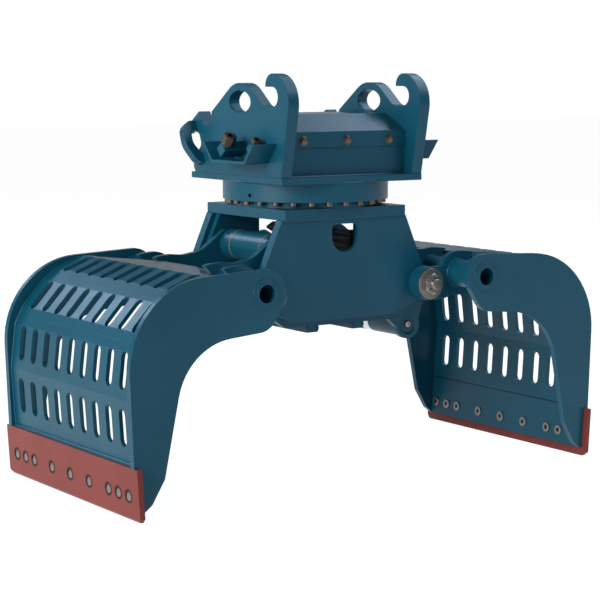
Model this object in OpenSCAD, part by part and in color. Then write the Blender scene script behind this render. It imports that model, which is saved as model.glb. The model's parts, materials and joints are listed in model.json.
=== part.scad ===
/* [Overall] */
// Width of one shell along the cutting edge
shell_w = 1000; // [900:10:1100]
// Height of the shell pivots above the ground with the jaws open
pivot_z = 733; // [730:1:735]
// Distance of each shell pivot from the slew axis
pivot_x = 371; // [368:1:374]
// Running clearance on the radius of a pin in its bush
running_gap = 0.05; // [0.03:0.01:0.1]
// Side gap between parts that swing past each other
side_gap = 1; // [0.5:0.1:2]

/* [Head] */
// Side of the square head plate
head_side = 650; // [640:2:680]
// Thickness of the head plate
head_t = 24; // [18:1:30]
// Thickness of a hook plate
hook_t = 47; // [35:1:50]
// Radius of the open hook that takes the front coupler shaft
hook_r = 37.5; // [30:0.5:40]
// Height of the lifting eye in a hook plate
eye_h = 80; // [60:2:90]
// Length of the lifting eye in a hook plate
eye_l = 150; // [120:2:160]
// Height of the ridge of the cover above the head plate
cover_h = 232; // [200:2:260]
// Sheet thickness of the cover
cover_t = 8; // [5:1:10]
// Distance the hose guard stands out from the hook plate
guard_out = 104; // [80:2:120]
// Sheet thickness of the hose guard
guard_t = 10; // [6:1:12]

/* [Slew drive] */
// Outer radius of the slew housing
housing_r = 325; // [310:1:325]
// Height of the slew housing
housing_h = 74; // [70:1:80]
// Radius of the joint between slew housing and slew ring
race_r = 285; // [280:1:290]
// Number of bolts in the slew housing
housing_bolts_n = 28; // [20:2:36]
// Tooth size (module) of the slew gear
gear_m = 8; // [6:1:8]
// Number of teeth inside the gear ring
ring_teeth = 48; // [48:4:52]
// Number of teeth on the pinion
pinion_teeth = 12; // [12:4:12]

/* [Frame] */
// Side of the square top plate of the frame
top_side = 560; // [550:2:570]
// Thickness of the top plate
top_t = 40; // [30:1:45]
// Height from the shell pivots to the underside of the top plate
top_rise = 271; // [268:1:276]
// Distance from the middle to the outer face of the front plate
front_y = 270; // [266:1:272]
// Thickness of the front and rear plates
front_t = 40; // [30:1:40]
// Thickness of the inner side plates
inner_t = 25; // [20:1:28]
// Width of the window in the frame plates
window_w = 120; // [100:2:130]
// Thickness of the lip round the window
window_lip = 18; // [12:1:30]
// How much wider the opening behind the lip is on each side
window_step = 24; // [10:1:30]
// Depth below the shell pivots of the frame plates
front_drop = 117; // [105:1:120]

/* [Shell] */
// Thickness of the shell side plates
side_t = 25; // [20:1:30]
// Thickness of the curved back plate
back_t = 15; // [12:1:18]
// Radius of the curved outline of the side plate
shell_r = 320; // [310:1:325]
// Outer radius of the cross tube
tube_r = 54; // [50:1:58]
// Bore radius of the cross tube
tube_bore_r = 37.5; // [30:0.5:40]
// Width of a sorting slot
slot_w = 45; // [35:1:50]
// Length of a sorting slot
slot_l = 135; // [110:1:140]
// Number of slots in one row
slot_n = 9; // [7:1:9]
// Distance between neighbouring slots
slot_pitch = 100; // [90:1:100]
// Height of the replaceable cutting edge
edge_h = 192; // [180:2:200]
// Thickness of the replaceable cutting edge
edge_t = 20; // [16:1:24]

/* [Pivots and levers] */
// Radius of the pivot pins
pin_r = 35; // [30:1:38]
// Radius of the round eyes at the pivots
eye_r = 66; // [62:1:70]
// Radius of the ears where they wrap round the cross tube
wrap_r = 88; // [80:1:92]
// Thickness of the outer ears of a shell
ear_t = 25; // [20:1:28]
// Thickness of the levers of a shell
lever_t = 28; // [22:1:30]
// Radius of the lever bosses and of the cylinder's cross tube
boss_r = 59; // [55:1:62]
// Half width of the cylinder's cross tube
cross_half = 105; // [90:1:110]

/* [Cylinder] */
// Outer radius of the cylinder barrel
barrel_r = 75; // [72:1:78]
// Bore radius of the cylinder barrel
bore_r = 64; // [64:1:65]
// Radius of the piston rod
rod_r = 35; // [30:1:35]
// Thickness of the eye on the piston rod
rod_eye_t = 50; // [40:1:56]

/* [Hidden] */
$fn = 64;

blue = "#21495c";
steel = "#8b8f94";

// Levels from the ground up
frame_top_z = pivot_z + top_rise;
deck_z = frame_top_z + top_t;
housing_z = deck_z + 24;
head_z = housing_z + housing_h;
head_top = head_z + head_t;

// Half sizes of the head
head_half = head_side / 2;
hook_x0 = head_half - hook_t + 2;
hook_x1 = hook_x0 + hook_t;

// Centre of the cross tube and of the upper pin, for the shell on the +X side
tube_x = pivot_x + 138;
tube_z = pivot_z + 35;
upper_x = pivot_x - 142;
upper_z = pivot_z + 152;
// Centre of the lower pin of the cylinder in the frame
lower_x = 336;
lower_z = pivot_z - 169;
lower_eye_r = 50;
lower_lug_r = 57;

inner_y1 = front_y - front_t;
inner_y0 = inner_y1 - inner_t;
ear_y0 = front_y + 35;
ear_y1 = ear_y0 + ear_t;
left_lever_y = 172;
right_lever_y = 128;
side_y1 = shell_w / 2;
side_y0 = side_y1 - side_t;

// The flank of the shell near the cutting edge leans in by this much per mm of height
flank_x = 1037;
flank_lean = 0.066;
back_end_z = 33;

// Unit vector and rounded corner helpers
function unit(v) = v / norm(v);
function turn(a) = a > 180 ? a - 360 : (a < -180 ? a + 360 : a);
function corner(p, q, s, r, n) =
    r == 0 ? [q] :
    let (a = unit(p - q), b = unit(s - q), half = acos(a * b) / 2,
         c = q + unit(a + b) * (r / sin(half)),
         e0 = q + a * (r / tan(half)) - c, e1 = q + b * (r / tan(half)) - c,
         u = atan2(e0[1], e0[0]), w = turn(atan2(e1[1], e1[0]) - u))
    [for (i = [0:n]) c + r * [cos(u + w * i / n), sin(u + w * i / n)]];
function rounded(pts, n = 8) =
    let (m = len(pts))
    [for (i = [0:m - 1])
        each corner([pts[(i + m - 1) % m][0], pts[(i + m - 1) % m][1]], [pts[i][0], pts[i][1]],
                    [pts[(i + 1) % m][0], pts[(i + 1) % m][1]], pts[i][2], n)];

// Four corners of the tangent band round two circles
function tangents(p, rp, q, rq) =
    let (d = norm(q - p), a = atan2(q[1] - p[1], q[0] - p[0]), b = acos((rp - rq) / d))
    [p + rp * [cos(a + b), sin(a + b)], q + rq * [cos(a + b), sin(a + b)],
     q + rq * [cos(a - b), sin(a - b)], p + rp * [cos(a - b), sin(a - b)]];

// A flat bar between two round ends
module bar2d(p, rp, q, rq) {
    translate(p) circle(r = rp);
    translate(q) circle(r = rq);
    polygon(tangents(p, rp, q, rq));
}

// Stand a drawing of x and z upright between two y values
module between_y(y0, y1) {
    translate([0, y1, 0]) rotate([90, 0, 0]) linear_extrude(y1 - y0) children();
}

// Stand a drawing of y and z upright between two x values
module between_x(x0, x1) {
    translate([x0, 0, 0]) rotate([90, 0, 90]) linear_extrude(x1 - x0) children();
}

// The same solid on the front and on the rear side
module front_and_rear() {
    children();
    mirror([0, 1, 0]) children();
}

// A round bar along y
module rod_y(x, z, r, y0, y1) {
    translate([x, y1, z]) rotate([90, 0, 0]) cylinder(r = r, h = y1 - y0);
}

// A tube along y
module tube_y(x, z, r, bore, y0, y1) {
    difference() {
        rod_y(x, z, r, y0, y1);
        rod_y(x, z, bore, y0 - 1, y1 + 1);
    }
}

// A hexagon bar along y
module hex_y(x, z, across, y0, y1) {
    translate([x, y1, z]) rotate([90, 0, 0])
        rotate([0, 0, 30]) cylinder(r = across / sqrt(3), h = y1 - y0, $fn = 6);
}

hook_cy = -262;
hook_cz = 300;

// Outline of a hook plate: y, z above the head plate, rounding
hook_outline = [
    [-head_half + 5, 0, 0], [-head_half - 45, 290, 60], [-head_half - 46, 345, 40],
    [-302, 392, 60], [-212, 384, 22], [-215, hook_cz + hook_r, 8],
    [hook_cy, hook_cz + hook_r, 0], [hook_cy, hook_cz - hook_r, 0], [-196, hook_cz - hook_r, 45],
    [-112, 351, 50], [6, 351, 60], [168, 239, 6],
    [176, 185, 26], [230, 185, 26], [242, 238, 8],
    [262, 238, 8], [head_half, 196, 14], [head_half - 15, 30, 20], [head_half - 33, 0, 0],
];

module hook_plate_profile() {
    difference() {
        translate([0, head_top]) polygon(rounded(hook_outline, 6));
        translate([hook_cy, head_top + hook_cz]) circle(r = hook_r);
        translate([-37, head_top + 280]) lifting_eye();
    }
}

module lifting_eye() {
    half = (eye_l - eye_h) / 2;
    translate([-half, 0]) circle(r = eye_h / 2);
    translate([half, 0]) circle(r = eye_h / 2);
    translate([-half, -eye_h / 2]) square([2 * half, eye_h]);
}

module hook_plate_right() {
    color(blue) between_x(hook_x0, hook_x1) hook_plate_profile();
}

module hook_plate_left() {
    mirror([1, 0, 0]) hook_plate_right();
}

module head_plate() {
    color(blue) difference() {
        translate([-head_half, -head_half, head_z]) cube([head_side, head_side, head_t]);
        translate([0, 0, head_z - 1]) cylinder(r = sleeve_r, h = head_t + 2);
        translate([0, gear_centre, head_z - 1]) cylinder(r = motor_r, h = head_t + 2);
    }
}

// Folded cover over the motor and the swivel
cover_y = head_half - 45;
cover_profile = [
    [-cover_y, 111], [-cover_y, 169], [-148, cover_h], [148, cover_h], [cover_y, 169],
    [cover_y, 111], [cover_y - cover_t, 111], [cover_y - cover_t, 163],
    [148 - 1, cover_h - cover_t], [-148 + 1, cover_h - cover_t], [-cover_y + cover_t, 163],
    [-cover_y + cover_t, 111],
];

module head_cover() {
    color(blue) difference() {
        between_x(-hook_x0, hook_x0) translate([0, head_top]) polygon(cover_profile);
        for (x = [-200, 0, 200]) rod_y(x, head_top + 135, 7, -cover_y - 1, cover_y + 1);
    }
}

module cover_walls() {
    color(blue) front_and_rear() difference() {
        translate([-hook_x0, cover_y - cover_t - 10, head_top]) cube([2 * hook_x0, 10, 150]);
        for (x = [-200, 0, 200])
            rod_y(x, head_top + 135, 6, cover_y - cover_t - 11, cover_y - cover_t + 1);
    }
}

module cover_bolts() {
    color(steel) front_and_rear() for (x = [-200, 0, 200]) {
        rod_y(x, head_top + 135, 18, cover_y, cover_y + 3);
        hex_y(x, head_top + 135, 24, cover_y + 3, cover_y + 12);
        rod_y(x, head_top + 135, 6, cover_y - cover_t - 14, cover_y);
    }
}

// Open trough that shields the hose ports
guard_outer = [[-294, 128, 0], [-233, 52, 14], [4, 52, 14], [68, 128, 0]];
guard_inner = [
    [68 - guard_t * 1.3, 128, 0], [4 - guard_t * 0.7, 52 + guard_t, 8],
    [-233 + guard_t * 0.7, 52 + guard_t, 8], [-294 + guard_t * 1.3, 128, 0],
];

module hose_guard_right() {
    color(blue) between_x(hook_x1, hook_x1 + guard_out)
        translate([0, head_top]) polygon(concat(rounded(guard_outer, 4), rounded(guard_inner, 4)));
}

module hose_guard_left() {
    mirror([1, 0, 0]) hose_guard_right();
}

// Bent bar that keeps loads off the hoses
bar_reach = 66;
bar_half = 88;

module guard_bar_right() {
    color(blue) translate([hook_x1, head_half - 37, head_top + 113]) rotate([-24, 0, 0])
        translate([0, 14, 0]) rotate([90, 0, 0]) linear_extrude(28) difference() {
            polygon(rounded([[0, -bar_half, 0], [22, -bar_half, 0], [bar_reach, -20, 50],
                             [bar_reach, 60, 24], [30, bar_half, 20], [0, bar_half, 0]], 6));
            polygon(rounded([[-1, -50, 0], [8, -50, 10], [bar_reach - 22, -6, 30],
                             [bar_reach - 24, 40, 14], [18, 62, 14], [-1, 62, 0]], 6));
        }
}

module guard_bar_left() {
    mirror([1, 0, 0]) guard_bar_right();
}

// Hydraulic ports inside the guard

module port_blocks() {
    color(blue) for (s = [0, 1]) mirror([s, 0, 0]) {
        difference() {
            translate([hook_x1, -140, head_top + 62]) cube([62, 90, 34]);
            translate([hook_x1 + 34, -95, head_top + 70]) cylinder(r = 16, h = 40);
        }
        difference() {
            translate([hook_x1, -258, head_top + 108]) cube([46, 52, 26]);
            translate([hook_x1 + 24, -232, head_top + 116]) cylinder(r = 10, h = 30);
        }
    }
}

module fitting(x, y, z, r, across, h) {
    translate([x, y, z]) {
        cylinder(r = r, h = h);
        translate([0, 0, 26]) cylinder(r = across / sqrt(3), h = h * 0.45, $fn = 6);
        translate([0, 0, 26 + h * 0.45]) cylinder(r = across * 0.5, h = h * 0.3);
    }
}

module hose_fittings() {
    color("dimgray") for (s = [0, 1]) mirror([s, 0, 0]) {
        fitting(hook_x1 + 34, -95, head_top + 70, 16, 50, 60);
        fitting(hook_x1 + 24, -232, head_top + 116, 10, 30, 36);
    }
}

// Slew housing, ring and gear
sleeve_r = 66;
core_r = 46;
gear_r = gear_m * ring_teeth / 2;
pinion_r = gear_m * pinion_teeth / 2;
gear_centre = gear_r - pinion_r;
motor_r = 52;
bolt_circle_r = (housing_r + race_r) / 2;
bolt_turn = 8.7;
gear_z0 = housing_z + 20;
gear_h = 44;

module slew_housing() {
    color(blue) difference() {
        translate([0, 0, housing_z]) cylinder(r = housing_r, h = housing_h, $fn = 96);
        translate([0, 0, housing_z - 1]) cylinder(r = race_r, h = housing_h + 2, $fn = 96);
        for (i = [0:housing_bolts_n - 1]) rotate([0, 0, bolt_turn + 360 * i / housing_bolts_n])
            translate([bolt_circle_r, 0, housing_z - 1]) cylinder(r = 8, h = 41, $fn = 16);
        rotate([0, 0, bolt_turn + 360 * 14.5 / housing_bolts_n])
            translate([housing_r - 14, 0, housing_z + 23]) rotate([0, 90, 0]) cylinder(r = 8, h = 20);
    }
}

module housing_bolts() {
    color(steel) for (i = [0:housing_bolts_n - 1])
        rotate([0, 0, bolt_turn + 360 * i / housing_bolts_n]) translate([bolt_circle_r, 0, housing_z]) {
            cylinder(r = 8, h = 38, $fn = 16);
            translate([0, 0, -15]) cylinder(r = 13, h = 15, $fn = 16);
        }
}

module slew_ring() {
    color("dimgray") difference() {
        translate([0, 0, deck_z]) cylinder(r = race_r - 0.4, h = head_z - deck_z - 4, $fn = 96);
        translate([0, 0, deck_z - 1]) cylinder(r = gear_r + 26, h = head_z - deck_z, $fn = 96);
    }
}

// Tooth flanks as straight lines between root, pitch and tip
function tooth_ring(n, root, pitch, tip, w) =
    [for (i = [0:n - 1], k = [[root, -1.32], [pitch, -1], [tip, -0.52],
                              [tip, 0.52], [pitch, 1], [root, 1.32]])
        k[0] * [cos(360 * i / n + k[1] * w), sin(360 * i / n + k[1] * w)]];

module gear_ring() {
    color("dimgray") translate([0, 0, gear_z0]) linear_extrude(gear_h) difference() {
        circle(r = gear_r + 26, $fn = 96);
        rotate([0, 0, 90]) polygon(tooth_ring(ring_teeth, gear_r - 0.9 * gear_m, gear_r,
                                              gear_r + 1.15 * gear_m, 90 / ring_teeth));
    }
}

module pinion() {
    color("silver") translate([0, gear_centre, 0]) {
        translate([0, 0, gear_z0]) linear_extrude(gear_h)
            rotate([0, 0, 90]) polygon(tooth_ring(pinion_teeth, pinion_r - 1.1 * gear_m, pinion_r,
                                                  pinion_r + 0.8 * gear_m, 78 / pinion_teeth));
        translate([0, 0, gear_z0 + gear_h]) cylinder(r = 22, h = head_top - gear_z0 - gear_h + 20);
    }
}

module slew_motor() {
    color("dimgray") translate([0, gear_centre, 0]) difference() {
        union() {
            translate([0, 0, head_z + 4]) cylinder(r = motor_r, h = head_t - 4);
            translate([-58, -58, head_top]) cube([116, 116, 18]);
            translate([0, 0, head_top + 18]) cylinder(r = 54, h = 120);
            translate([-38, -38, head_top + 138]) cube([76, 76, 30]);
        }
        translate([0, 0, head_z]) cylinder(r = 22 + running_gap, h = head_t + 30);
    }
}

module swivel_sleeve() {
    color("dimgray") difference() {
        union() {
            translate([0, 0, head_z + 2]) cylinder(r = sleeve_r, h = 140);
            translate([0, 0, head_top]) cylinder(r = sleeve_r + 14, h = 14);
        }
        translate([0, 0, head_z]) cylinder(r = core_r, h = 143);
    }
}

module swivel_core() {
    color("silver") {
        translate([0, 0, frame_top_z]) cylinder(r = core_r - running_gap, h = head_z + 150 - frame_top_z);
        translate([0, 0, frame_top_z - 20]) cylinder(r = core_r + 16, h = 20);
    }
}

// Height and outer diameter of the hoses inside the frame, from the top
hoses = [[934, 18], [910.5, 20], [882, 28], [852, 22]];
hose_x = 100;
hose_plate_t = 12;

// Hoses with their pressed ferrules
module frame_hoses() {
    end = inner_y0 - hose_plate_t;
    color("dimgray") for (h = hoses) {
        rod_y(hose_x, h[0], h[1] / 2, -end, end);
        front_and_rear() rod_y(hose_x, h[0], h[1] / 2 + 2, -end, -end + 36);
    }
}

// Block under the swivel with its plug fitting, and the plates that hold the hoses
module swivel_block() {
    low = frame_top_z - 70;
    color("dimgray") {
        translate([-60, -75, low]) cube([120, 150, 50]);
        translate([-58, 0, low + 26]) rotate([0, -90, 0]) cylinder(r = 20, h = 98, $fn = 6);
        translate([-155, 0, low + 26]) rotate([0, -90, 0]) cylinder(r1 = 20, r2 = 5, h = 26, $fn = 6);
        front_and_rear() translate([hose_x - 32, -inner_y0, 838]) cube([64, hose_plate_t, 112]);
    }
}

// Frame plates: x, z and rounding, drawn for the whole width
window_z = pivot_z + 243;

module window2d() {
    half = window_w / 2;
    translate([0, window_z - 102]) intersection() {
        translate([0, 60]) circle(r = half);
        translate([-half, 0]) square([window_w, 60]);
    }
    polygon(concat(
        [[-half, window_z - 42], [half, window_z - 42]],
        rounded([[half, window_z - 42, 0], [half, window_z + 6, 20],
                 [-half, window_z + 6, 20], [-half, window_z - 42, 0]], 5)));
}

module front_outline() {
    x = top_side / 2 + 10;
    polygon(rounded([
        [x, frame_top_z, 0], [pivot_x + 6, pivot_z + 68, 0], [pivot_x - 4, pivot_z - 60, 0],
        [306, pivot_z - 91, 60], [222, pivot_z - front_drop, 60],
        [-241, pivot_z - front_drop, 60], [-pivot_x + 20, pivot_z - 66, 20],
        [-pivot_x - 6, pivot_z + 68, 0], [-x, frame_top_z, 0]], 6));
    for (s = [-1, 1]) translate([s * pivot_x, pivot_z]) circle(r = 70);
}

// Wider opening behind the window, which leaves a lip of the front plate round it
module service_room2d() {
    half = window_w / 2 + window_step;
    polygon(rounded([
        [half, window_z - 102 - window_step, 50], [half, window_z + 6 + window_step / 2, 16],
        [-half, window_z + 6 + window_step / 2, 16], [-half, window_z - 102 - window_step, 50]], 5));
}

module frame_front_plate() {
    color(blue) difference() {
        between_y(-front_y, -inner_y1) difference() {
            front_outline();
            window2d();
        }
        between_y(-front_y + window_lip, -inner_y1 + 1) service_room2d();
        for (s = [-1, 1]) rod_y(s * pivot_x, pivot_z, bush_r, -front_y - 1, -inner_y1 + 1);
    }
}

module frame_rear_plate() {
    mirror([0, 1, 0]) frame_front_plate();
}

bush_r = pin_r + 10;

module inner_outline() {
    x = top_side / 2 - 12;
    polygon(rounded([
        [x, frame_top_z, 0], [pivot_x - 14, pivot_z + 68, 0], [pivot_x + 50, pivot_z - 50, 20],
        [pivot_x + 20, pivot_z - 140, 20], [lower_x + 50, lower_z, 0], [lower_x - 54, lower_z - 10, 0],
        [240, pivot_z - 141, 30], [-250, pivot_z - 141, 40],
        [-pivot_x - 6, pivot_z - 50, 20], [-pivot_x + 14, pivot_z + 68, 0], [-x, frame_top_z, 0]], 6));
    for (s = [-1, 1]) translate([s * pivot_x, pivot_z]) circle(r = 74);
    translate([lower_x, lower_z]) circle(r = lower_lug_r);
}

module inner_plates() {
    color(blue) front_and_rear() difference() {
        between_y(-inner_y1, -inner_y0) difference() {
            inner_outline();
            service_room2d();
        }
        for (s = [-1, 1]) rod_y(s * pivot_x, pivot_z, bush_r, -inner_y1 - 1, -inner_y0 + 1);
        rod_y(lower_x, lower_z, pin_r, -inner_y1 - 1, -inner_y0 + 1);
        translate([lower_x, -inner_y1 - 1, lower_z]) rotate([-90, 0, 0]) cylinder(r1 = 41, r2 = pin_r, h = 7);
    }
}

module frame_top_plate() {
    color(blue) difference() {
        translate([-top_side / 2, -top_side / 2, frame_top_z]) cube([top_side, top_side, top_t]);
        translate([0, 0, frame_top_z - 1]) cylinder(r = core_r, h = top_t + 2);
    }
}

module cross_bars() {
    color(blue) for (s = [-1, 1]) between_x(s * 107 - 25, s * 107 + 25) difference() {
        translate([-inner_y0, pivot_z - 170]) square([2 * inner_y0, 112]);
        polygon(rounded([[-96, pivot_z - 50, 0], [-96, pivot_z - 145, 24],
                         [96, pivot_z - 145, 24], [96, pivot_z - 50, 0]], 5));
    }
}

module pivot_bushes() {
    color("#7a5238") for (s = [-1, 1]) front_and_rear()
        tube_y(s * pivot_x, pivot_z, bush_r, pin_r + running_gap, inner_y0, front_y);
}

module lower_blocks() {
    color(blue) front_and_rear() difference() {
        between_y(rod_eye_t / 2 + side_gap, inner_y0) {
            translate([lower_x, lower_z]) circle(r = lower_eye_r);
            translate([lower_x - lower_eye_r, lower_z]) square([2 * lower_eye_r - 12, 18]);
        }
        rod_y(lower_x, lower_z, pin_r, 0, inner_y0 + 1);
    }
}

module lower_pin() {
    color(steel) difference() {
        rod_y(lower_x, lower_z, pin_r, -inner_y1 + 6, inner_y1 - 6);
        front_and_rear() rod_y(lower_x, lower_z, 12, inner_y1 - 20, inner_y1);
    }
}

// Side plate of the +X shell: x, z and rounding
side_outline = [
    [tube_x - 88, tube_z + 92, 84], [flank_x + 45, tube_z + 62, shell_r],
    [flank_x + edge_t, edge_h, 0],
    [flank_x, edge_h, 0], [flank_x - flank_lean * (edge_h - back_end_z), back_end_z, 0],
    [flank_x - 23, back_end_z + 2, 6], [flank_x - 52, 58, 20], [flank_x - 103, 143, 30],
    [flank_x - 198, 602, 240], [495, 632, 80], [tube_x - 88, tube_z - 27, 84],
];

module side_profile() {
    difference() {
        polygon(rounded(side_outline, 16));
        translate([tube_x, tube_z]) circle(r = tube_r);
    }
}

module right_side_front() {
    color(blue) between_y(-side_y1, -side_y0) side_profile();
}

module right_side_rear() {
    mirror([0, 1, 0]) right_side_front();
}

// Bends of the back plate's outer face: x, z
bends = [
    [tube_x + 66, 838], [flank_x - 299, 841], [flank_x - 187, 797], [flank_x - 157, 775.5],
    [flank_x - 127, 754], [flank_x - 38, 657], [flank_x - 21.5, 625], [flank_x - 5, 593],
    [flank_x + flank_lean * (423 - edge_h), 423],
    [flank_x - flank_lean * (edge_h - back_end_z), back_end_z],
];

function normal(p, q) = let (d = unit(q - p)) [d[1], -d[0]];
function inset(pts, t) =
    [for (i = [0:len(pts) - 1])
        i == 0 ? pts[0] - normal(pts[0], pts[1]) * -t :
        i == len(pts) - 1 ? pts[i] - normal(pts[i - 1], pts[i]) * -t :
        let (a = normal(pts[i - 1], pts[i]), b = normal(pts[i], pts[i + 1]), m = unit(a + b))
        pts[i] + m * (t / (m * a))];

// Middle and direction of each row of slots: x, z, angle of the row's long side
rows = [
    [flank_x - 243, 819, -21.5], [flank_x - 82.5, 705.5, -47.5],
    [flank_x + 5.5, 525.5, -81.2], [flank_x + 8.5, 322, -93.8],
];

module slots(cut_rows) {
    for (r = cut_rows, i = [0:slot_n - 1])
        translate([r[0], (i - (slot_n - 1) / 2) * slot_pitch, r[1]]) rotate([0, -r[2], 0])
            translate([0, 0, -60]) for (s = [-1, 0, 1])
                if (s == 0) translate([-(slot_l - slot_w) / 2, -slot_w / 2, 0])
                    cube([slot_l - slot_w, slot_w, 120]);
                else translate([s * (slot_l - slot_w) / 2, 0, 0]) cylinder(r = slot_w / 2, h = 120, $fn = 24);
}

// Bent sheet of the back wall between two points of the bends, with its rows of slots
module back_sheet(first, last, cut_rows) {
    inner = inset(bends, back_t);
    difference() {
        between_y(-side_y0, side_y0)
            polygon([for (i = [first:last]) bends[i], for (i = [last:-1:first]) inner[i]]);
        slots(cut_rows);
    }
}

module right_upper_sheet() {
    color(blue) difference() {
        back_sheet(0, 3, [rows[0]]);
        front_and_rear() translate([0, 0, pivot_z]) linear_extrude(140)
            polygon([[490, 500], [712, 500], [712, 392], [560, 100], [490, 100]]);
    }
}

module right_shoulder_sheet() {
    color(blue) back_sheet(3, 6, [rows[1]]);
}

module right_lower_sheet() {
    color(blue) difference() {
        back_sheet(6, len(bends) - 1, [rows[2], rows[3]]);
        edge_holes(10, flank_x - 60, flank_x + 40);
    }
}

module right_cross_tube() {
    color(blue) tube_y(tube_x, tube_z, tube_r, tube_bore_r, -side_y1 - 4, side_y1 + 4);
}

// Open ring round the cross tube with a neck to the pivot
module wrap2d() {
    difference() {
        bar2d([tube_x, tube_z], wrap_r, [tube_x + 40, tube_z], wrap_r - 3);
        translate([tube_x + 132, tube_z]) circle(r = 96);
    }
    translate([pivot_x, pivot_z]) circle(r = eye_r);
    polygon(rounded([
        [pivot_x, pivot_z + eye_r, 0], [pivot_x + 74, pivot_z + eye_r, 20],
        [tube_x - 42, tube_z + 76, 0], [tube_x - 30, tube_z - 81, 0],
        [pivot_x + 74, pivot_z - eye_r + 4, 30], [pivot_x, pivot_z - eye_r, 0]], 5));
}

module right_ears() {
    color(blue) front_and_rear() difference() {
        union() {
            between_y(ear_y0, ear_y1) wrap2d();
            rod_y(pivot_x, pivot_z, eye_r, front_y + side_gap, ear_y0);
        }
        rod_y(pivot_x, pivot_z, pin_r, front_y, ear_y1 + 1);
        rod_y(tube_x, tube_z, tube_r, ear_y0 - 1, ear_y1 + 1);
    }
}

// Curved arm from the cross tube past the pivot to the upper pin
module lever2d() {
    wrap2d();
    translate([upper_x, upper_z]) circle(r = boss_r);
    polygon(rounded([
        [upper_x, upper_z, 0], [upper_x + 2, upper_z + boss_r - 1, 0], [upper_x + 34, upper_z + 60, 40],
        [pivot_x + 4, upper_z - 22, 90], [pivot_x + 80, upper_z - 34, 60], [tube_x, tube_z + 87, 0],
        [tube_x, tube_z, 0], [pivot_x + 20, pivot_z - 40, 0], [pivot_x - 40, pivot_z - 46, 20],
        [upper_x + 28, upper_z - 100, 60], [upper_x - 50, upper_z - 26, 10]], 6));
}

module levers(y0, y_in) {
    y1 = y0 + lever_t;
    color(blue) front_and_rear() difference() {
        union() {
            between_y(y0, y1) lever2d();
            rod_y(upper_x, upper_z, boss_r, y_in, y0);
            rod_y(pivot_x, pivot_z, eye_r, y1, inner_y0 - side_gap);
        }
        rod_y(pivot_x, pivot_z, pin_r, 0, inner_y0);
        rod_y(upper_x, upper_z, pin_r, 0, inner_y0);
        rod_y(tube_x, tube_z, tube_r, 0, inner_y0);
    }
}

module right_levers() {
    levers(right_lever_y, right_lever_y - 24);
}

module upper_pin(y_out) {
    color(steel) rod_y(upper_x, upper_z, pin_r, -y_out, y_out);
}

module right_upper_pin() {
    upper_pin(right_lever_y + lever_t + 6);
}

module pivot_pins(y0) {
    color(steel) front_and_rear() {
        rod_y(pivot_x, pivot_z, pin_r, y0 - 2, ear_y1 - 2);
        rod_y(pivot_x, pivot_z, 18, ear_y1 - 2, ear_y1 + 40);
    }
}

module right_pivot_pins() {
    pivot_pins(right_lever_y);
}

module right_pivot_nuts() {
    color(steel) front_and_rear() {
        tube_y(pivot_x, pivot_z, 61, 18, ear_y1, ear_y1 + 4);
        difference() {
            hex_y(pivot_x, pivot_z, 62, ear_y1 + 4, ear_y1 + 30);
            rod_y(pivot_x, pivot_z, 18, ear_y1, ear_y1 + 31);
        }
    }
}

// Cutting edge with its bolts
edge_bolt_z = 87;
edge_bolts = [0, 148.4, side_y1 - 203.6, side_y1 - 129.8, side_y1 - 55.4];
edge_in_x = flank_x - flank_lean * (edge_h - edge_bolt_z);
back_in = back_t * norm([1, flank_lean]);
paint_gap = 0.03;

module edge2d() {
    x0 = flank_x - flank_lean * edge_h;
    polygon([[flank_x + paint_gap, edge_h], [flank_x + edge_t, edge_h], [x0 + edge_t + 1, 10],
             [x0 + edge_t - 8, 0], [x0 + paint_gap, 0]]);
}

module edge_holes(r, x0, x1) {
    for (s = [-1, 1], y = edge_bolts)
        if (s == 1 || y > 0)
            translate([x0, s * y, edge_bolt_z]) rotate([0, 90, 0]) cylinder(r = r, h = x1 - x0);
}

module right_edge() {
    color("#963f3a") difference() {
        between_y(-side_y1 - 20, side_y1 + 20) edge2d();
        edge_holes(10, edge_in_x - 40, edge_in_x + 40);
        edge_holes(20, edge_in_x + 12, edge_in_x + 40);
        for (s = [-1, 1]) translate([flank_x - 40, s * (side_y1 + 20), 0])
            rotate([45, 0, 0]) cube([100, 22, 22], center = true);
    }
}

module right_edge_bolts() {
    seat = flank_x - back_in - paint_gap;
    color(steel) {
        edge_holes(10, edge_in_x - 34, edge_in_x + 12);
        edge_holes(17, edge_in_x + 12, edge_in_x + 18);
        difference() {
            edge_holes(20, edge_in_x - 34, edge_in_x - 10);
            between_y(-side_y1, side_y1) polygon([
                [seat, edge_h], [flank_x + 60, edge_h],
                [flank_x + 60, 20], [seat - flank_lean * (edge_h - 20), 20]]);
        }
    }
}

module left_side_front() {
    mirror([1, 0, 0]) right_side_front();
}

module left_side_rear() {
    mirror([1, 0, 0]) right_side_rear();
}

module left_upper_sheet() {
    mirror([1, 0, 0]) right_upper_sheet();
}

module left_shoulder_sheet() {
    mirror([1, 0, 0]) right_shoulder_sheet();
}

module left_lower_sheet() {
    mirror([1, 0, 0]) right_lower_sheet();
}

module left_cross_tube() {
    mirror([1, 0, 0]) right_cross_tube();
}

module left_ears() {
    mirror([1, 0, 0]) right_ears();
}

module left_levers() {
    mirror([1, 0, 0]) levers(left_lever_y, cross_half + 4);
}

module left_upper_pin() {
    mirror([1, 0, 0]) upper_pin(left_lever_y + lever_t + 3);
}

module left_pivot_pins() {
    mirror([1, 0, 0]) pivot_pins(left_lever_y);
}

module left_pivot_nuts() {
    mirror([1, 0, 0]) right_pivot_nuts();
}

module left_edge() {
    mirror([1, 0, 0]) right_edge();
}

module left_edge_bolts() {
    mirror([1, 0, 0]) right_edge_bolts();
}

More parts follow.
